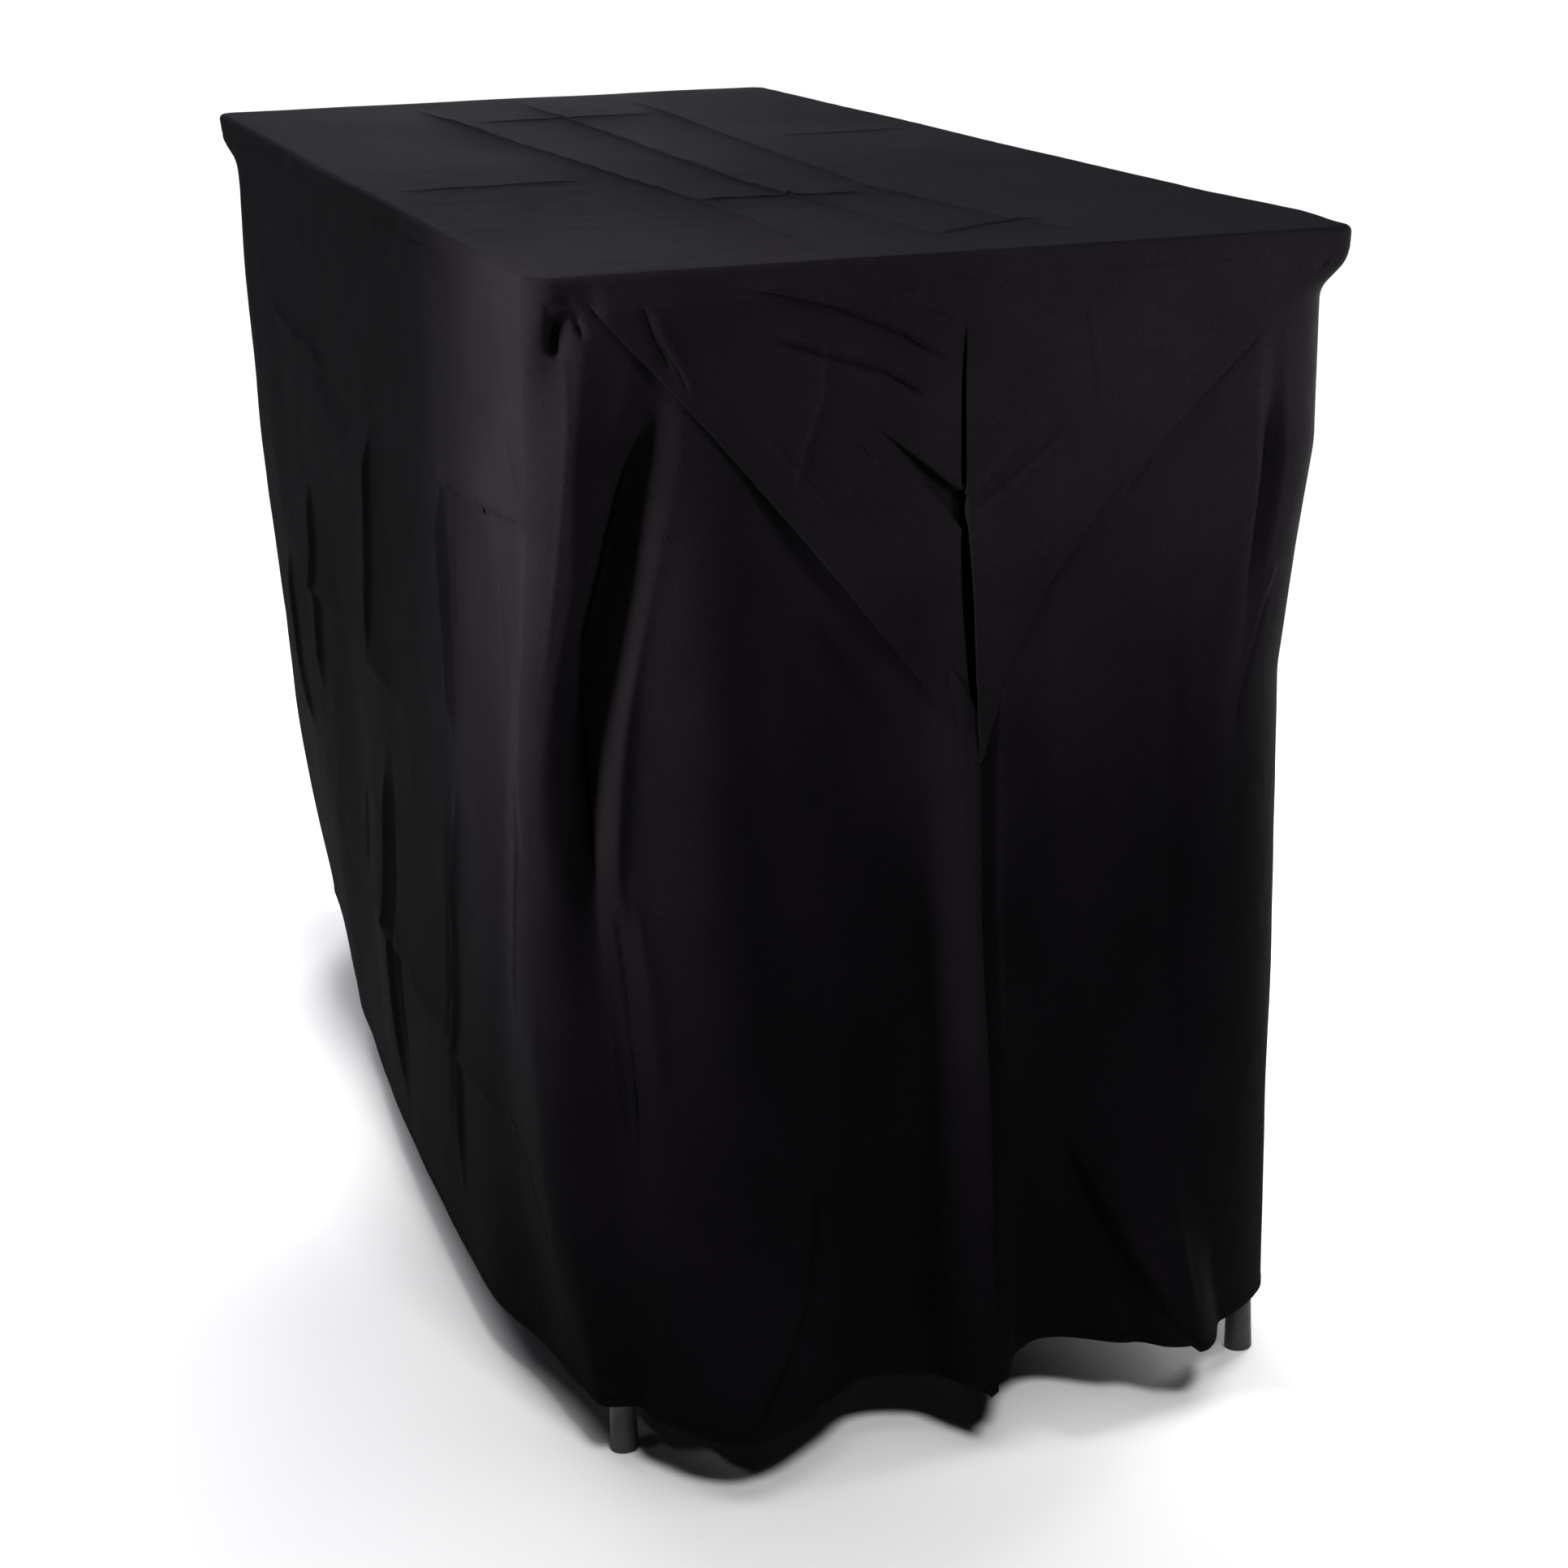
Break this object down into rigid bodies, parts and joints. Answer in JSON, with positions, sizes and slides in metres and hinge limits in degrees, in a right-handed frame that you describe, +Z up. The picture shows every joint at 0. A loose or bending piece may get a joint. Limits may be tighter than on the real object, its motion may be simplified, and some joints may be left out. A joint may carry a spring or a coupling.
{
  "type": "table cover draped over a folding table",
  "caption": "Plain black table cover wrapped over a bar-height folding table: flat top, skirt almost to the floor, ends folded into a V with an open pleat, hemmed lower edge",
  "frame": {"origin": "on the floor, under the middle of the cover's box", "axes": "+Z up, Y along the table, X across it; the end with the pictured V faces -Y, the long side seen beside it faces -X"},
  "size_m": [0.7834, 1.9291, 1.1023],
  "materials": {
    "black_satin": "black polyester satin with a soft sheen, packing creases and a narrow machine hem",
    "table_panel_plastic": "light grey moulded plastic, lightly grained",
    "leg_tube_paint": "dark grey powder coat",
    "foot_plastic": "dark grey plastic foot cap"
  },
  "bodies": {
    "root": {"cover_cloth": "black_satin", "table_top": "table_panel_plastic", "leg_near_left": "leg_tube_paint", "foot_near_left": "foot_plastic", "leg_near_right": "leg_tube_paint", "foot_near_right": "foot_plastic", "leg_far_left": "leg_tube_paint", "foot_far_left": "foot_plastic", "leg_far_right": "leg_tube_paint", "foot_far_right": "foot_plastic"}
  },
  "joints": []
}
